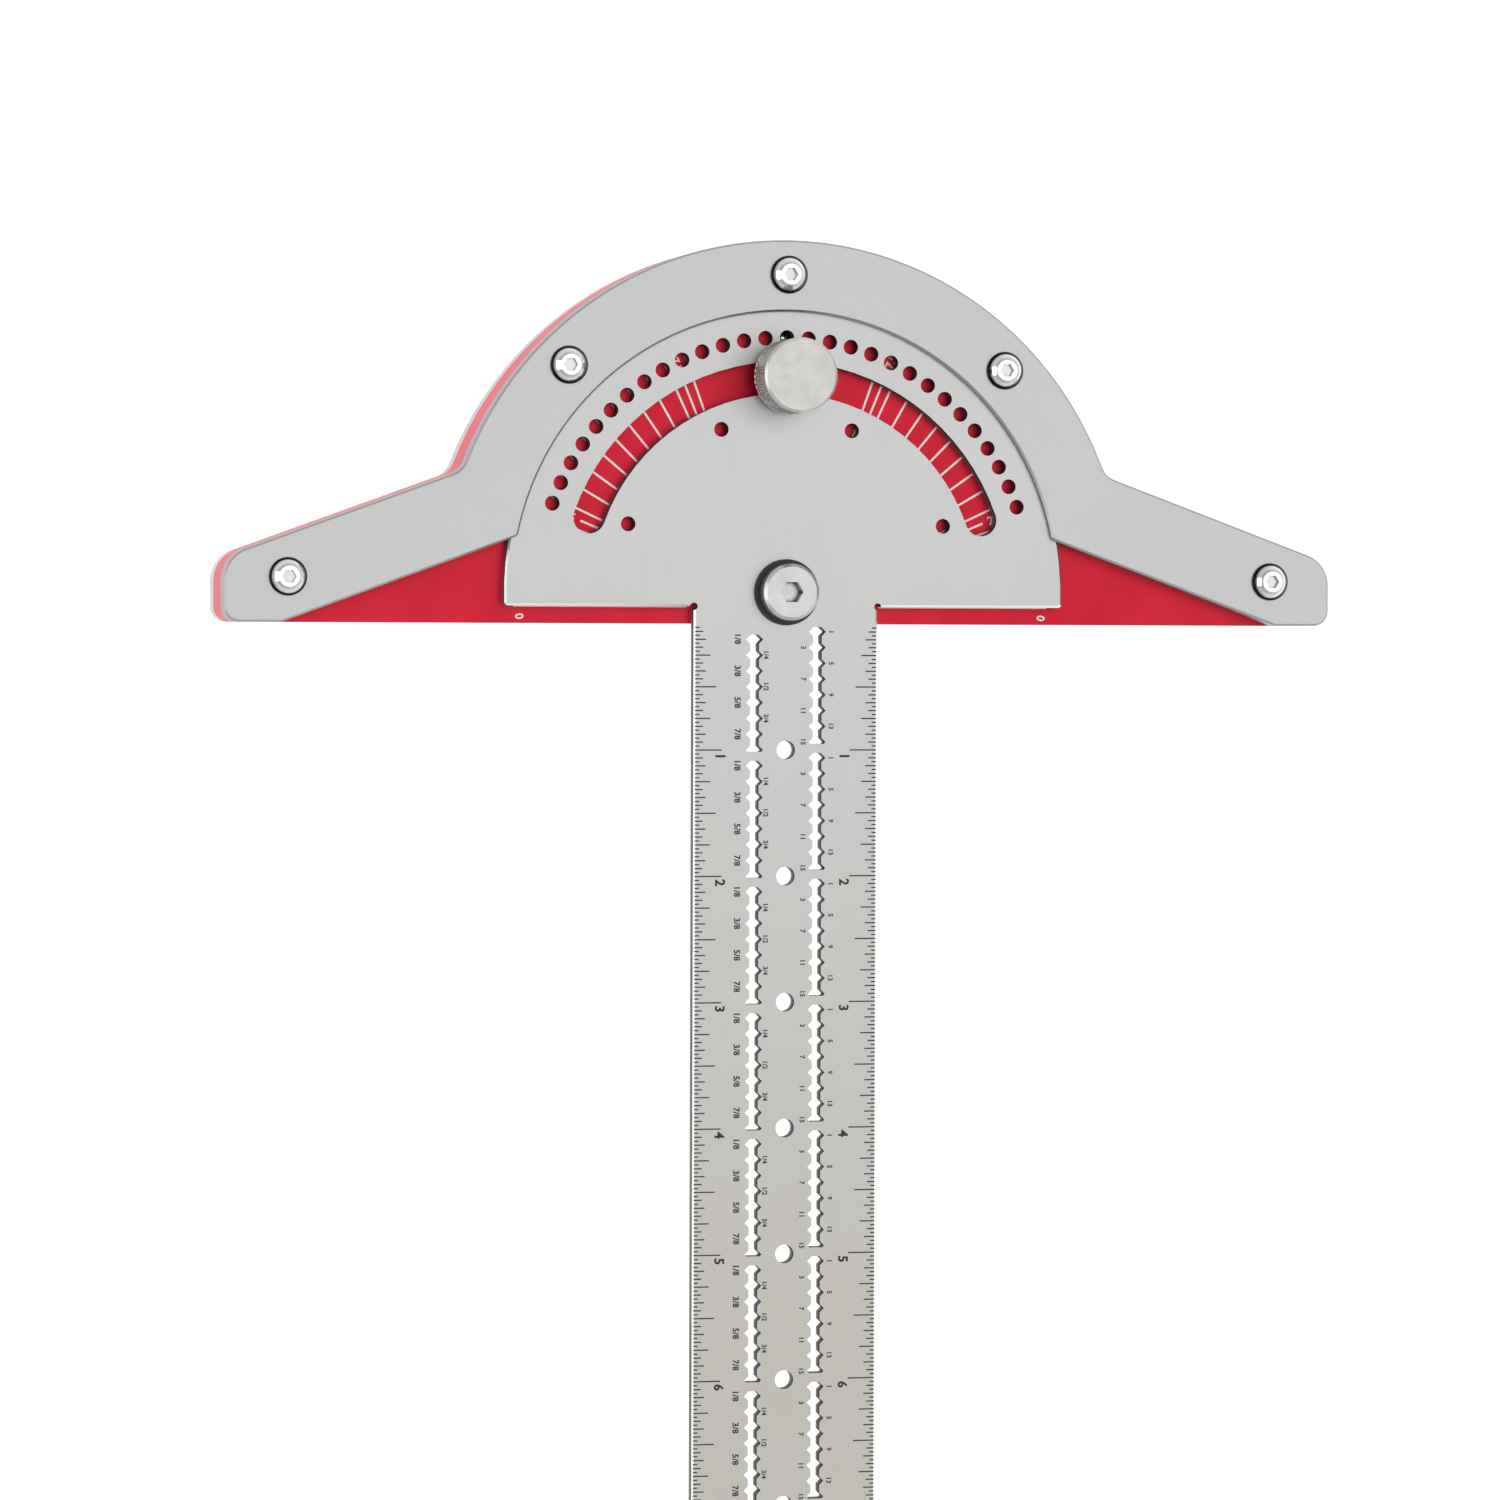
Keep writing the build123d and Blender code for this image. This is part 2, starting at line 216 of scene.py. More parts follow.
# %% Paint the room
high_wall = 0.42
low_wall = 0.80
room = bpy.data.worlds.new("shaded_room")
room.use_nodes = True
tree = room.node_tree
direction = tree.nodes.new("ShaderNodeTexCoord").outputs["Generated"]
height = tree.nodes.new("ShaderNodeSeparateXYZ")
tree.links.new(direction, height.inputs["Vector"])
walls = tree.nodes.new("ShaderNodeMapRange")
tree.links.new(height.outputs["Z"], walls.inputs["Value"])
for name, value in (("From Min", 0.10), ("From Max", 0.55),
                    ("To Min", low_wall), ("To Max", high_wall)):
    walls.inputs[name].default_value = value
tree.links.new(walls.outputs["Result"], tree.nodes["Background"].inputs["Color"])
bpy.context.scene.world = room
bpy.context.scene.view_settings.view_transform = "Standard"

# %% [markdown]
# ## Mixing a finish
#
# Every finish below is made from the same few nodes: soft random grain, drawn out where a belt or
# a cutter left its lines, spread into a range of roughness, a mix of two tones and a fine bump.
# Writing them out each time would bury the few values that matter, so a small class adds the nodes
# and joins them. The grain is laid in the piece's own coordinates, so it moves with the piece.

# %% A class that mixes finishes
class Finish:
    """A metal or plastic whose nodes are added one by one and joined as they are made."""

    def __init__(self, name, metallic):
        self.material = bpy.data.materials.new(name)
        self.material.use_nodes = True
        self.tree = self.material.node_tree
        self.shader = self.tree.nodes["Principled BSDF"]
        self.shader.inputs["Metallic"].default_value = metallic
        self.place = self.add("ShaderNodeTexCoord").outputs["Object"]

    def add(self, kind, settings=(), **inputs):
        """Adds a node. An input is a plain value or the output of another node."""
        node = self.tree.nodes.new(kind)
        for name, value in dict(settings).items():
            setattr(node, name, value)
        for name, value in inputs.items():
            self.put(node, name.replace("_", " "), value)
        return node

    def put(self, node, name, value):
        """Joins an output to a node's input, or writes a plain value on it."""
        socket = next(s for s in node.inputs if s.enabled and s.name == name)
        if isinstance(value, bpy.types.NodeSocket):
            self.tree.links.new(value, socket)
        else:
            socket.default_value = value

    def grain(self, size, stretch=(1, 1, 1), detail=2.0):
        """Random values about 0.5, in cells of a size that is drawn out along the axes."""
        scale = [1 / (size * s) for s in stretch]
        spot = self.add("ShaderNodeMapping", Vector=self.place, Scale=scale)
        spot = spot.outputs["Vector"]
        return self.add("ShaderNodeTexNoise", Vector=spot, Scale=1.0, Detail=detail).outputs["Fac"]

    def spread(self, value, low, high, start=0.3, end=0.7):
        """Turns values from start to end into values from low to high."""
        node = self.add("ShaderNodeMapRange", Value=value, From_Min=start, From_Max=end)
        self.put(node, "To Min", low)
        self.put(node, "To Max", high)
        return node.outputs["Result"]

    def sum(self, operation, first, second):
        """One sum on two values, such as ADD or MULTIPLY."""
        node = self.add("ShaderNodeMath", {"operation": operation})
        for socket, value in zip(node.inputs, (first, second)):
            if isinstance(value, bpy.types.NodeSocket):
                self.tree.links.new(value, socket)
            else:
                socket.default_value = value
        return node.outputs["Value"]

    def mix(self, share, first, second):
        """A colour between two: the first where share is 0, the second where it is 1."""
        node = self.add("ShaderNodeMix", {"data_type": "RGBA"}, Factor=share, A=first, B=second)
        return next(s for s in node.outputs if s.enabled)

    def flatness(self):
        """1 on faces that look straight up or down, 0 on upright walls."""
        normal = self.add("ShaderNodeNewGeometry").outputs["True Normal"]
        z = self.add("ShaderNodeSeparateXYZ", Vector=normal).outputs["Z"]
        return self.sum("MULTIPLY", z, z)

    def open_air(self, reach):
        """1 out in the open, and less the deeper a place lies in a socket or a corner."""
        node = self.add("ShaderNodeAmbientOcclusion", {"samples": 8})
        self.put(node, "Distance", reach)
        return node.outputs["AO"]

    def finish(self, colour, roughness, height=None, depth=0.0):
        """Joins colour and roughness to the shader, with a relief of a depth in metres."""
        self.put(self.shader, "Base Color", colour)
        self.put(self.shader, "Roughness", roughness)
        if height is not None:
            bump = self.add("ShaderNodeBump", Height=height, Distance=depth, Strength=1.0)
            self.put(self.shader, "Normal", bump.outputs["Normal"])
        return self.material


def grey(value, warm=0.0):
    """A grey, a little towards yellow where warm is above 0."""
    return (value, value * (1 - 0.35 * warm), value * (1 - warm), 1)


def dress(material, *names):
    """Gives a finish to nodes of the frame."""
    for name in names:
        mesh = frame["nodes"][name].data
        mesh.materials.clear()
        mesh.materials.append(material)
        mesh.polygons.foreach_set("material_index", [0] * len(mesh.polygons))
    print(f"{material.name}: {', '.join(names)}")


# %% [markdown]
# ## The rule's stainless steel
#
# The rule and its head are one stainless plate, ground on a belt that runs along its length. The
# grain is very fine, so from a distance the plate is an even satin grey. It is painted a little
# darker and warmer down the rule. The slot walls are painted dark, darkest just under the rim, as
# painted shade, and the broken edges are painted bright, as a painted highlight. Two sizes of
# drawn-out grain give the streaks, and the slope of the surface tells face, edge and wall apart.

# %% Make the rule's finish
def ground_steel():
    steel = Finish("ground_stainless", metallic=1.0)
    streaks = steel.grain(0.16 * mm, stretch=(1, 90, 1))
    bands = steel.grain(1.1 * mm, stretch=(1, 60, 1))
    clouds = steel.grain(16 * mm)
    # The plate is painted a little darker and warmer towards the far end of the rule.
    down = steel.add("ShaderNodeSeparateXYZ", Vector=steel.place).outputs["Y"]
    down = steel.spread(down, 1.0, 0.0, start=-150 * mm, end=20 * mm)
    lines = steel.sum("ADD", steel.sum("MULTIPLY", streaks, 0.6), steel.sum("MULTIPLY", bands, 0.4))
    face = steel.mix(steel.spread(lines, 0.0, 1.0), grey(0.56), grey(0.59))
    far_end_tone = steel.mix(steel.spread(lines, 0.0, 1.0), grey(0.46, 0.13), grey(0.54, 0.11))
    face = steel.mix(down, face, far_end_tone)
    face = steel.mix(steel.spread(clouds, 0.0, 0.35), face, grey(0.545, 0.02))
    slope = steel.flatness()
    # Painted highlight: the chamfered edges are painted bright grey (0.90) in the colour below.
    edge = steel.spread(slope, 1.0, 0.0, start=0.6, end=0.9)
    wall = steel.spread(slope, 1.0, 0.0, start=0.1, end=0.4)
    # Painted shade: the walls are painted dark grey, and nearly black just under the rim.
    up = steel.add("ShaderNodeSeparateXYZ", Vector=steel.place).outputs["Z"]
    wall_shade = steel.spread(up, 0.0, 1.0, start=head_top - 1.6 * mm, end=head_top - 0.6 * mm)
    wall_shade = steel.mix(wall_shade, grey(0.20), grey(0.012))
    colour = steel.mix(wall, steel.mix(edge, face, grey(0.90)), wall_shade)
    smooth = steel.sum("MULTIPLY", edge, -0.16)
    rough = steel.sum("ADD", steel.spread(lines, 0.32, 0.40), smooth)
    rough = steel.sum("ADD", rough, steel.sum("MULTIPLY", wall, 0.45))
    return steel.finish(colour, rough, height=lines, depth=0.003 * mm)


dress(ground_steel(), "rule_blade")

# %% [markdown]
# ## The frame's satin plate
#
# The C-shaped frame on top of the fence is plate too. A thin lip of it reaches over the head's rim
# and holds the head down. Its face was sanded round and round, so that it shows no direction: it is
# a flat, even grey. Its walls and broken edges are painted a darker grey, as painted shade. They
# were milled and not sanded, so the cutter's turns stand on them as fine upright lines.

# %% Make the satin plate and its milled walls
def milled_walls(metal, flat_height):
    """Relief for walls that a cutter has passed along, with the flat faces' own relief."""
    turns = metal.grain(0.25 * mm, stretch=(1, 1, 30), detail=1.0)
    wall = metal.spread(metal.flatness(), 1.0, 0.0, start=0.0, end=0.4)
    turns = metal.sum("MULTIPLY", turns, wall)
    return metal.sum("ADD", turns, metal.sum("MULTIPLY", flat_height, 0.35))


def satin_plate():
    plate = Finish("satin_plate", metallic=1.0)
    fine = plate.grain(0.12 * mm, detail=3.0)
    clouds = plate.grain(22 * mm)
    face = plate.mix(plate.spread(fine, 0.0, 1.0), grey(0.555), grey(0.60))
    face = plate.mix(plate.spread(clouds, 0.0, 0.5), face, (0.555, 0.57, 0.575, 1))
    # Painted shade: walls and chamfered edges are painted a darker grey (0.30).
    edge = plate.spread(plate.flatness(), 1.0, 0.0, start=0.3, end=0.9)
    colour = plate.mix(edge, face, grey(0.30))
    relief = milled_walls(plate, fine)
    return plate.finish(colour, plate.spread(fine, 0.34, 0.46), height=relief, depth=0.006 * mm)


dress(satin_plate(), "top_frame")

# %% [markdown]
# ## Red and clear anodising
#
# The fence's thick middle layer is aluminium, dyed red in the anodising bath. The dye sits in a
# clear oxide skin over bright metal, so the red is deep, and it has a metal's glint. The lower
# layer had the same bath without the dye, and is a plain cool grey. Both layers were blasted with
# fine beads first, which leaves an even frosting on the faces. Only the walls keep their lines.

# %% Make the two anodised finishes
def anodised(name, dark, light, metallic):
    metal = Finish(name, metallic)
    frosting = metal.grain(0.18 * mm, detail=3.0)
    clouds = metal.grain(9 * mm, detail=3.0)
    tone = metal.sum("ADD", metal.sum("MULTIPLY", frosting, 0.5), metal.sum("MULTIPLY", clouds, 0.5))
    colour = metal.mix(metal.spread(tone, 0.0, 1.0), dark, light)
    relief = milled_walls(metal, frosting)
    metal.shader.inputs["Coat Weight"].default_value = 0.12
    metal.shader.inputs["Coat Roughness"].default_value = 0.25
    roughness = metal.spread(frosting, 0.36, 0.5)
    return metal.finish(colour, roughness, height=relief, depth=0.008 * mm)


red = anodised("red_anodised", (0.56, 0.012, 0.032, 1), (0.71, 0.022, 0.049, 1), metallic=0.9)
clear = anodised("clear_anodised", grey(0.48), (0.55, 0.56, 0.57, 1), metallic=0.9)
dress(red, "fence_body")
dress(clear, "base_plate")

# %% [markdown]
# ## Turned and polished steel
#
# The screws and the balls are bright steel. The screws' rounded heads were tumbled until they shone,
# so they mirror the lights above and the grey walls between them. A mirror without a flaw looks like
# glass, so the polish keeps a faint unevenness. The foot of each dome is painted black, as painted
# shade, and the sockets are painted a little darker by an ambient occlusion mask, also painted shade.
# Zinc plate on the washer and the stud is duller and slightly blue, and drawn spring wire is darker
# still.

# %% Make the steel finishes
def bright_steel(name, colour, roughness, shade_foot=None):
    """Steel with a faint unevenness. Up to the given foot height its domes are painted black, as
    painted shade, and its sockets are painted darker by an ambient occlusion mask, as painted shade."""
    steel = Finish(name, metallic=1.0)
    grain = steel.grain(0.3 * mm, detail=3.0)
    smears = steel.grain(2.5 * mm)
    dark = tuple(0.86 * c for c in colour[:3]) + (1,)
    tone = steel.mix(steel.spread(smears, 0.0, 1.0), dark, colour)
    if shade_foot is not None:
        # Painted shade: sockets and corners are painted mid grey by an ambient occlusion mask.
        socket_shade = steel.spread(steel.open_air(2 * mm), 1.0, 0.0, start=0.3, end=0.8)
        tone = steel.mix(socket_shade, tone, grey(0.50))
        # Painted shade: the foot of each dome is painted nearly black, a dark ring round the head.
        up = steel.add("ShaderNodeSeparateXYZ", Vector=steel.place).outputs["Z"]
        foot = steel.spread(up, 1.0, 0.0, start=shade_foot - 0.35 * mm, end=shade_foot + 0.25 * mm)
        dome = steel.spread(steel.flatness(), 1.0, 0.0, start=0.85, end=0.95)
        tone = steel.mix(steel.sum("MULTIPLY", foot, dome), tone, grey(0.012))
    polish = steel.spread(grain, 0.7 * roughness, 1.3 * roughness)
    return steel.finish(tone, polish, height=grain, depth=0.001 * mm)


screws = [name for name in frame["nodes"] if name.startswith("frame_screw")]
# The height up to which the screw domes are painted black, as painted shade.
shade_foot_height = 1.4 * mm
screw_steel = bright_steel("polished_steel", grey(0.97), 0.07, frame_top + shade_foot_height)
dress(screw_steel, *screws)
dress(bright_steel("ball_steel", grey(0.84), 0.08), "outer_stop_ball", "inner_stop_ball")
dress(bright_steel("zinc_plate", (0.66, 0.68, 0.71, 1), 0.28), "clamp_washer", "clamp_stud")
dress(bright_steel("spring_wire", grey(0.42), 0.3), "outer_stop_spring", "inner_stop_spring",
      "clamp_clip")

# %% [markdown]
# ## Faces from the lathe
#
# The pivot's cap and the knob are turned, not tumbled. A tool that is fed across a turning face
# leaves rings round its axis, too fine to see one by one, and the face shines in a soft, broken way.
# A wave texture can make rings, but it makes them round the origin, so the axis is taken off first.

# %% Turn the pivot's cap
def turned_face(name, colour, axis):
    """Bright turned metal with faint rings round an upright axis."""
    metal = Finish(name, metallic=1.0)
    centred = metal.add("ShaderNodeMapping", Vector=metal.place, Location=-axis)
    rings = metal.add(
        "ShaderNodeTexWave",
        {"wave_type": "RINGS", "rings_direction": "Z"},
        Vector=centred.outputs["Vector"],
        Scale=1 / (3.0 * mm),
        Distortion=1.5,
        Detail=2.0,
    ).outputs["Fac"]
    grain = metal.grain(0.25 * mm, detail=3.0)
    blots = metal.grain(3 * mm)
    rough = metal.sum("ADD", metal.sum("MULTIPLY", rings, 0.15), metal.sum("MULTIPLY", grain, 0.85))
    dark = tuple(0.86 * c for c in colour[:3]) + (1,)
    tone = metal.mix(metal.spread(blots, 0.0, 1.0), dark, colour)
    # Painted shade: sockets and corners are painted near black by an ambient occlusion mask.
    tone = metal.mix(metal.spread(metal.open_air(0.9 * mm), 1.0, 0.0, 0.4, 0.9), tone, grey(0.02))
    return metal.finish(tone, metal.spread(rough, 0.24, 0.34), height=rough, depth=0.002 * mm)


dress(turned_face("turned_pivot_metal", grey(0.63, 0.03), pivot), "pivot_screw")

# %% [markdown]
# ## Bronze and acetal
#
# Two small pieces carry the swing. The bush is porous bronze: brown in the pores, yellow where it
# has been turned. The washer under the pivot's cap is black acetal, a plastic with a soft shine,
# with turning marks that run round it.

# %% Make the bush and the washer
def porous_bronze():
    bronze = Finish("porous_bronze", metallic=1.0)
    pores = bronze.grain(0.2 * mm, detail=4.0)
    colour = bronze.mix(bronze.spread(pores, 0.0, 1.0, start=0.35, end=0.5),
                        (0.22, 0.12, 0.05, 1), (0.62, 0.42, 0.20, 1))
    return bronze.finish(colour, bronze.spread(pores, 0.5, 0.3), height=pores, depth=0.01 * mm)


def black_acetal():
    acetal = Finish("black_acetal", metallic=0.0)
    grain = acetal.grain(0.15 * mm, detail=3.0)
    colour = acetal.mix(acetal.spread(grain, 0.0, 1.0), grey(0.010), grey(0.022))
    return acetal.finish(colour, acetal.spread(grain, 0.35, 0.5), height=grain, depth=0.006 * mm)


dress(porous_bronze(), "pivot_bush")
dress(black_acetal(), "pivot_washer")

# %% [markdown]
# ## Shapes that close
#
# The scales, the knob and the stud are new meshes. Each has to be closed, with no loose face, so
# that it could be printed or weighed. Four helpers do this: one turns a finished mesh into a piece
# and counts its open edges, one draws a flat bar between two points, one makes a numeral, and one
# sets a numeral in its place.

# %% Helpers for new pieces
def make_piece(name, shape, material, body):
    """Turns a closed shape into a piece that rides on a body."""
    bmesh.ops.recalc_face_normals(shape, faces=shape.faces)
    open_edges = sum(len(edge.link_faces) != 2 for edge in shape.edges)
    mesh = bpy.data.meshes.new(name)
    shape.to_mesh(mesh)
    shape.free()
    mesh.materials.append(material)
    piece = bpy.data.objects.new(name, mesh)
    bpy.context.scene.collection.objects.link(piece)
    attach(piece, body)
    print(f"{name}: {len(mesh.polygons)} faces, {open_edges} open edges")
    return piece


def add_bar(shape, start, end, width, low, high):
    """Adds a closed flat bar from start to end, between two heights."""
    start, end = Vector(start), Vector(end)
    along = (end - start).normalized()
    side = Vector((-along.y, along.x)) * width / 2
    outline = [start - side, end - side, end + side, start + side]
    lower = [shape.verts.new((p.x, p.y, low)) for p in outline]
    upper = [shape.verts.new((p.x, p.y, high)) for p in outline]
    shape.faces.new(upper)
    shape.faces.new(lower[::-1])
    for a in range(4):
        b = (a + 1) % 4
        shape.faces.new((lower[a], lower[b], upper[b], upper[a]))


# %% A numeral as a closed mesh
numerals = {}


def numeral(text, weight=0.0):
    """A numeral one unit tall and one unit thick, its middle at the origin."""
    if (text, weight) not in numerals:
        curve = bpy.data.curves.new("numeral", "FONT")
        curve.body = text
        curve.extrude = 0.5
        curve.offset = weight
        curve.resolution_u = 2
        holder = bpy.data.objects.new("numeral", curve)
        mesh = bpy.data.meshes.new_from_object(holder)
        corners = [v.co for v in mesh.vertices]
        low = Vector([min(c[i] for c in corners) for i in range(3)])
        high = Vector([max(c[i] for c in corners) for i in range(3)])
        size = high.y - low.y
        mesh.transform(Matrix.Diagonal((1 / size, 1 / size, 1, 1))
                       @ Matrix.Translation(-(low + high) / 2))
        bpy.data.objects.remove(holder)
        numerals[text, weight] = mesh
    return numerals[text, weight]


def add_numeral(shape, text, height, place, turn, low, high, weight=0.0):
    """Adds a numeral of a height, turned about Z, between two heights."""
    mesh = numeral(text, weight).copy()
    middle = Vector((*place, (low + high) / 2))
    mesh.transform(Matrix.Translation(middle) @ Matrix.Rotation(turn, 4, "Z")
                   @ Matrix.Diagonal((height, height, high - low, 1)))
    before = len(shape.verts)
    shape.from_mesh(mesh)
    shape.verts.ensure_lookup_table()
    bmesh.ops.remove_doubles(shape, verts=shape.verts[before:], dist=0.001 * height)
    bpy.data.meshes.remove(mesh)


# %% [markdown]
# ## The angle scale
#
# The red body carries the scale. It shows through the head's arc slot, and as the head swings,
# more of it comes out below. The head's straight edge is the pointer: it lies a little below the
# pivot, so the lines don't all point at the pivot, but each lies where that edge stops. There is a
# line every five degrees, and two more at 22.5 and 67.5. On the real tool they are cut through the
# dyed skin down to the bright metal. Painting them in the material would need an image, so each line
# is a thin bar of bare metal that is sunk in the surface and stands proud by a hair, still clear of
# the head that slides over it.

# %% Metal laid bare by the engraver
def bared_metal(name, dark, light):
    """Bright aluminium with a matt, cut surface, tinted a little by the dye round it."""
    metal = Finish(name, metallic=0.85)
    grain = metal.grain(0.1 * mm, detail=3.0)
    colour = metal.mix(metal.spread(grain, 0.0, 1.0), dark, light)
    return metal.finish(colour, metal.spread(grain, 0.35, 0.5), height=grain, depth=0.003 * mm)


bare_aluminium = bared_metal("bare_aluminium", (0.76, 0.64, 0.62, 1), (0.90, 0.82, 0.80, 1))
mark_depth = 0.05 * mm
mark_pride = 0.02 * mm
mark_low = seat - mark_depth
mark_high = seat + mark_pride

# %% Engrave the lines of the angle scale
blade_corners = [v.co for v in frame["nodes"]["rule_blade"].data.vertices]
head_edge = min(c.y for c in blade_corners if abs(c.x) > head_radius / 2)
edge_drop = pivot.y - head_edge
line_width = 0.42 * mm
line_start = 20 * mm
rim_margin = 2.4 * mm
line_end = head_radius - rim_margin
low_fine_line_end = 44 * mm
high_fine_line_end = 47.5 * mm
print(f"the pointing edge lies {edge_drop / mm:.2f} mm below the pivot")


def on_scale(degrees, distance, side, lift=0.0):
    """The point at a distance along the edge's line at an angle, on side 1 or -1 of the pivot."""
    angle = math.radians(degrees)
    along = Vector((math.cos(angle), math.sin(angle)))
    below = Vector((math.sin(angle), -math.cos(angle)))
    spot = distance * along + (edge_drop - lift) * below
    return (pivot.x + side * spot.x, pivot.y + spot.y)


line_ends = {degrees: line_end for degrees in range(0, 71, 5)}
line_ends[22.5] = low_fine_line_end
line_ends[67.5] = high_fine_line_end
lines = bmesh.new()
for side in (1, -1):
    for degrees, end in line_ends.items():
        inner = on_scale(degrees, line_start, side)
        outer = on_scale(degrees, end, side)
        add_bar(lines, inner, outer, line_width, mark_low, mark_high)
make_piece("angle_scale_lines", lines, bare_aluminium, "fence")

# %% [markdown]
# ## The numerals of the angle scale
#
# Each numeral stands by the outer end of its line with its head outwards, and all of them read
# clockwise round the rim, on the left as on the right. The two half-degree numerals lie along their
# own lines instead, because there is no room for them at the rim.

# %% Engrave the numerals of the angle scale
rim_numeral_height = 1.8 * mm
rim_numeral_radius = 54.4 * mm
rim_numeral_step = math.radians(2.3)
line_numeral_height = 1.8 * mm
bold = 0.02
line_numeral_middles = {22.5: 47.3 * mm, 67.5: 51.2 * mm}

digits = bmesh.new()
for side in (1, -1):
    for degrees in range(0, 71, 5):
        tip = Vector(on_scale(degrees, line_end, side)) - pivot.xy
        bearing = math.atan2(tip.y, tip.x) - side * rim_numeral_step
        place = (
            pivot.x + rim_numeral_radius * math.cos(bearing),
            pivot.y + rim_numeral_radius * math.sin(bearing),
        )
        turn = bearing - math.pi / 2
        add_numeral(digits, str(degrees), rim_numeral_height, place, turn,
                    mark_low, mark_high, bold)
    for degrees, middle in line_numeral_middles.items():
        place = on_scale(degrees, middle, side)
        turn = side * math.radians(degrees)
        add_numeral(digits, str(degrees), line_numeral_height, place, turn,
                    mark_low, mark_high, bold)
make_piece("angle_scale_numerals", digits, bare_aluminium, "fence")

# %% [markdown]
# ## The rule's graduations
#
# Both edges of the rule are divided into inches and thirty-seconds. A ruler can be read at a glance
# because each kind of line has its own length, from the inch down to the thirty-second. The lines
# are etched and blackened. As on the angle scale, each is a thin closed bar, here of dark oxide.

# %% Etch the graduations
def etched(name):
    """Blackened etching: nearly black, with the steel glinting through its grain."""
    etching = Finish(name, metallic=0.3)
    grain = etching.grain(0.08 * mm, detail=3.0)
    colour = etching.mix(etching.spread(grain, 0.0, 1.0), grey(0.018), grey(0.05, 0.1))
    return etching.finish(colour, etching.spread(grain, 0.45, 0.65), height=grain, depth=0.004 * mm)


black_etching = etched("black_etching")
etching_depth = 0.05 * mm
etching_pride = 0.012 * mm
etching_low = head_top - etching_depth
etching_high = head_top + etching_pride
rule_edge = max(abs(c.x) for c in blade_corners if c.y < -inch)
last_inch = math.floor(-blade_low.y / inch)
tick_width = 0.26 * mm
tick_margin = 0.27 * mm
tick_lengths = {32: 5.8 * mm, 16: 4.6 * mm, 8: 3.4 * mm, 4: 2.5 * mm, 2: 1.9 * mm, 1: 1.2 * mm}


def tick_length(count):
    """The length of a line, from the largest fraction of an inch that it falls on."""
    return next(length for part, length in tick_lengths.items() if count % part == 0)


for side, name in ((-1, "left_graduations"), (1, "right_graduations")):
    ticks = bmesh.new()
    for count in range(1, 32 * last_inch + 1):
        y = -count * inch / 32
        outer = side * (rule_edge - tick_margin)
        inner = side * (rule_edge - tick_length(count))
        add_bar(ticks, (outer, y), (inner, y), tick_width, etching_low, etching_high)
    make_piece(name, ticks, black_etching, "blade")
print(f"{last_inch} inches on each edge")

# %% [markdown]
# ## The rule's numerals
#
# All numerals on the rule are turned a quarter to the right, so that they read down its length.
# The large ones count the inches at the end of each inch line. The small ones name the notches of
# the pencil slots: the left slot has the eighths, and the right slot the odd sixteenths. They stand
# now on one side of their slot and now on the other, because neighbouring notches are so close.

# %% Etch the numerals
quarter_turn = -math.pi / 2
extra_bold = 0.03
inch_numeral_height = 2.1 * mm
inch_numeral_places = (-13.5 * mm, 12.2 * mm)
below_the_line = 1.25 * mm

inch_numerals = bmesh.new()
for count in range(1, last_inch + 1):
    for x in inch_numeral_places:
        place = (x, -count * inch - below_the_line)
        add_numeral(inch_numerals, str(count), inch_numeral_height, place, quarter_turn,
                    etching_low, etching_high, extra_bold)
make_piece("inch_numerals", inch_numerals, black_etching, "blade")

notch_rows = {
    "left_notch_numerals": (
        (-10.0 * mm, 1.35 * mm, {2: "1/8", 6: "3/8", 10: "5/8", 14: "7/8"}),
        (-4.1 * mm, 1.05 * mm, {4: "1/4", 8: "1/2", 12: "3/4"}),
    ),
    "right_notch_numerals": (
        (9.4 * mm, 1.05 * mm, {1: "1", 5: "5", 9: "9", 13: "13"}),
        (3.6 * mm, 1.05 * mm, {3: "3", 7: "7", 11: "11", 15: "15"}),
    ),
}
for name, rows in notch_rows.items():
    numbers = bmesh.new()
    for count in range(last_inch):
        for x, height, labels in rows:
            for sixteenths, label in labels.items():
                place = (x, -(count + sixteenths / 16) * inch)
                add_numeral(numbers, label, height, place, quarter_turn,
                            etching_low, etching_high, extra_bold)
    make_piece(name, numbers, black_etching, "blade")

# %% [markdown]
# ## The clamp knob
#
# The knob is turned from bar. Its rim is knurled: two sets of fine grooves cross and leave rows of
# little pyramids for the fingers. Its face was faced off on the lathe and shows faint rings. Below
# it, a neck with a groove holds the washer's clip. A bump texture would leave the rim's outline
# perfectly round, so the grooves are cut into the mesh. The rest is one profile, turned about the
# stud's axis, with the same neck and bore as in the frame.

# %% A helper for turned shapes
def add_turned(shape, axis, profile, segments, relief=None):
    """Adds a closed turned solid. The profile's two ends lie on the axis; relief is cut inwards."""
    rings = []
    for radius, height in profile:
        count = segments if radius > 0 else 1
        ring = []
        for step in range(count):
            turn = 2 * math.pi * step / segments
            r = radius - relief(turn, height) if relief and radius > 0 else radius
            spot = (axis.x + r * math.cos(turn), axis.y + r * math.sin(turn), height)
            ring.append(shape.verts.new(spot))
        rings.append(ring)
    for upper, lower in zip(rings, rings[1:]):
        for step in range(segments):
            a, b = upper[step % len(upper)], upper[(step + 1) % len(upper)]
            c, d = lower[(step + 1) % len(lower)], lower[step % len(lower)]
            corners = list(dict.fromkeys((a, b, c, d)))
            if len(corners) > 2:
                shape.faces.new(corners)


def steps(start, end, count):
    """Evenly spaced values from start to end, both included."""
    return [start + (end - start) * n / count for n in range(count + 1)]


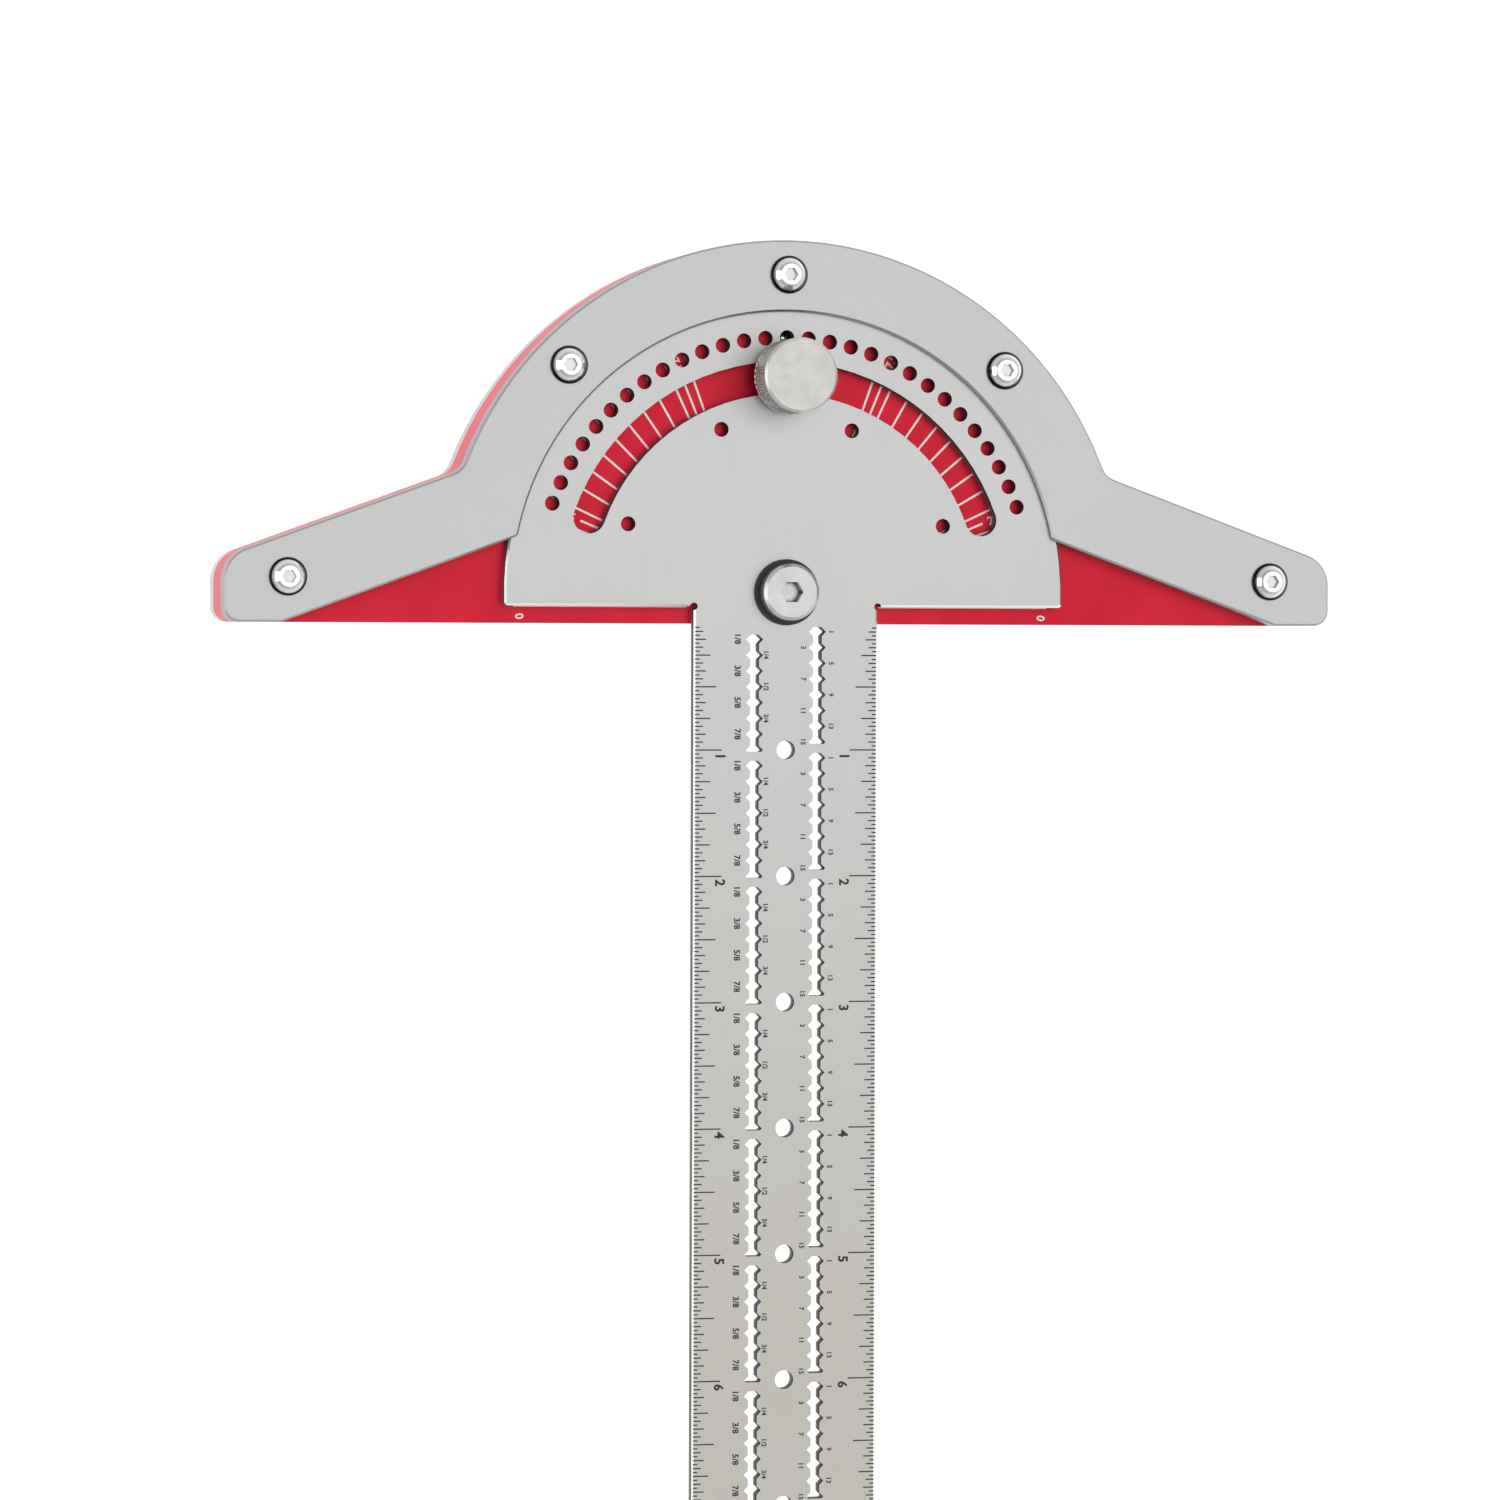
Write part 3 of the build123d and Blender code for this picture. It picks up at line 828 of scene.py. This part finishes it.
# %% Turn and knurl the knob
knob_low, knob_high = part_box("clamp_knob")
washer_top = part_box("clamp_washer")[1].z
clip_low, clip_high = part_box("clamp_clip")
stud_low, stud_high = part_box("clamp_stud")
knob_axis = (knob_low + knob_high) / 2
float_gap = 0.02 * mm
knob_radius = (knob_high.x - knob_low.x) / 2
knob_underside = washer_top + float_gap
knob_chamfer = 0.5 * mm
neck_radius = 4.25 * mm
groove_radius = 3.85 * mm
bore_radius = 3.05 * mm
bore_room = 1.0 * mm
bore_top = stud_high.z + bore_room
face_centre = 1.0 * mm
face_rings = 6
plain_rim = 0.9 * mm
knurl_low = knob_underside + plain_rim
knurl_high = knob_high.z - plain_rim
knurl_depth = 0.28 * mm
knurl_count = 42
knurl_pitch = 2 * math.pi * knob_radius / knurl_count
knurl_rings = 48
knurl_steepness = 1.25
segments_per_groove = 6


def ramp(value):
    """0 at whole numbers, 1 halfway between them."""
    return 1 - abs(2 * (value % 1) - 1)


def knurl(turn, height):
    """The depth of the crossed grooves at a turn and a height."""
    if not knurl_low < height < knurl_high:
        return 0.0
    across = turn * knurl_count / (2 * math.pi)
    up = height / knurl_pitch
    ridge = min(ramp(across + up), ramp(across - up))
    return knurl_depth * (1 - min(1.0, knurl_steepness * ridge))


knob_profile = [(0, knob_high.z)]
knob_profile += [(r, knob_high.z) for r in steps(face_centre, knob_radius - knob_chamfer, face_rings)]
knob_profile += [(knob_radius, knob_high.z - knob_chamfer)]
knob_profile += [(knob_radius, z) for z in steps(knurl_high, knurl_low, knurl_rings)]
knob_profile += [(knob_radius, knob_underside + knob_chamfer)]
knob_profile += [(knob_radius - knob_chamfer, knob_underside)]
knob_profile += [(neck_radius, knob_underside), (neck_radius, clip_high.z)]
knob_profile += [(groove_radius, clip_high.z), (groove_radius, clip_low.z)]
knob_profile += [(neck_radius, clip_low.z), (neck_radius, knob_low.z)]
knob_profile += [(bore_radius, knob_low.z), (bore_radius, bore_top), (0, bore_top)]

knob_shape = bmesh.new()
knob_segments = segments_per_groove * knurl_count
add_turned(knob_shape, knob_axis, knob_profile, knob_segments, relief=knurl)
knob_metal = turned_face("turned_knob_metal", grey(0.60, 0.06), knob_axis)
knob = make_piece("knurled_knob", knob_shape, knob_metal, "knob")
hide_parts("clamp_knob")

# %% [markdown]
# ## The stud's thread
#
# When the knob is backed off, the stud shows below it, and a stud is known by its thread. The thread
# is a groove that climbs one pitch in each turn. It can be cut with the same helper as the knurl,
# because at each turn the groove only has to be a little higher.

# %% Thread the stud
thread_pitch = 1.0 * mm
thread_depth = 0.45 * mm
stud_radius = (stud_high.x - stud_low.x) / 2
stud_chamfer = 0.6 * mm
stud_axis = (stud_low + stud_high) / 2
plain_foot = 0.5 * mm
thread_rings = 100
thread_segments = 48
thread_low = seat + plain_foot
thread_high = stud_high.z - stud_chamfer


def thread(turn, height):
    """The depth of the thread's groove at a turn and a height."""
    if not thread_low < height < thread_high:
        return 0.0
    return thread_depth * (1 - ramp(height / thread_pitch - turn / (2 * math.pi)))


stud_profile = [(0, stud_high.z), (stud_radius - stud_chamfer, stud_high.z)]
stud_profile += [(stud_radius, z) for z in steps(thread_high, thread_low, thread_rings)]
stud_profile += [(stud_radius, stud_low.z), (0, stud_low.z)]
stud_shape = bmesh.new()
add_turned(stud_shape, stud_axis, stud_profile, thread_segments, relief=thread)
zinc = bpy.data.materials["zinc_plate"]
stud = make_piece("threaded_stud", stud_shape, zinc, "fence")
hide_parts("clamp_stud")

# %% [markdown]
# ## Print the sizes
#
# The dressed tool may not outgrow the frame, because other parts will be fitted to the frame's
# sizes.

# %% Print both boxes
dressed_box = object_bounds()
boxes = {
    "frame": [list(corner) for corner in frame_box],
    "dressed": [list(corner) for corner in dressed_box],
}
for name, (low, high) in boxes.items():
    print(name, [round((b - a) / mm, 2) for a, b in zip(low, high)])
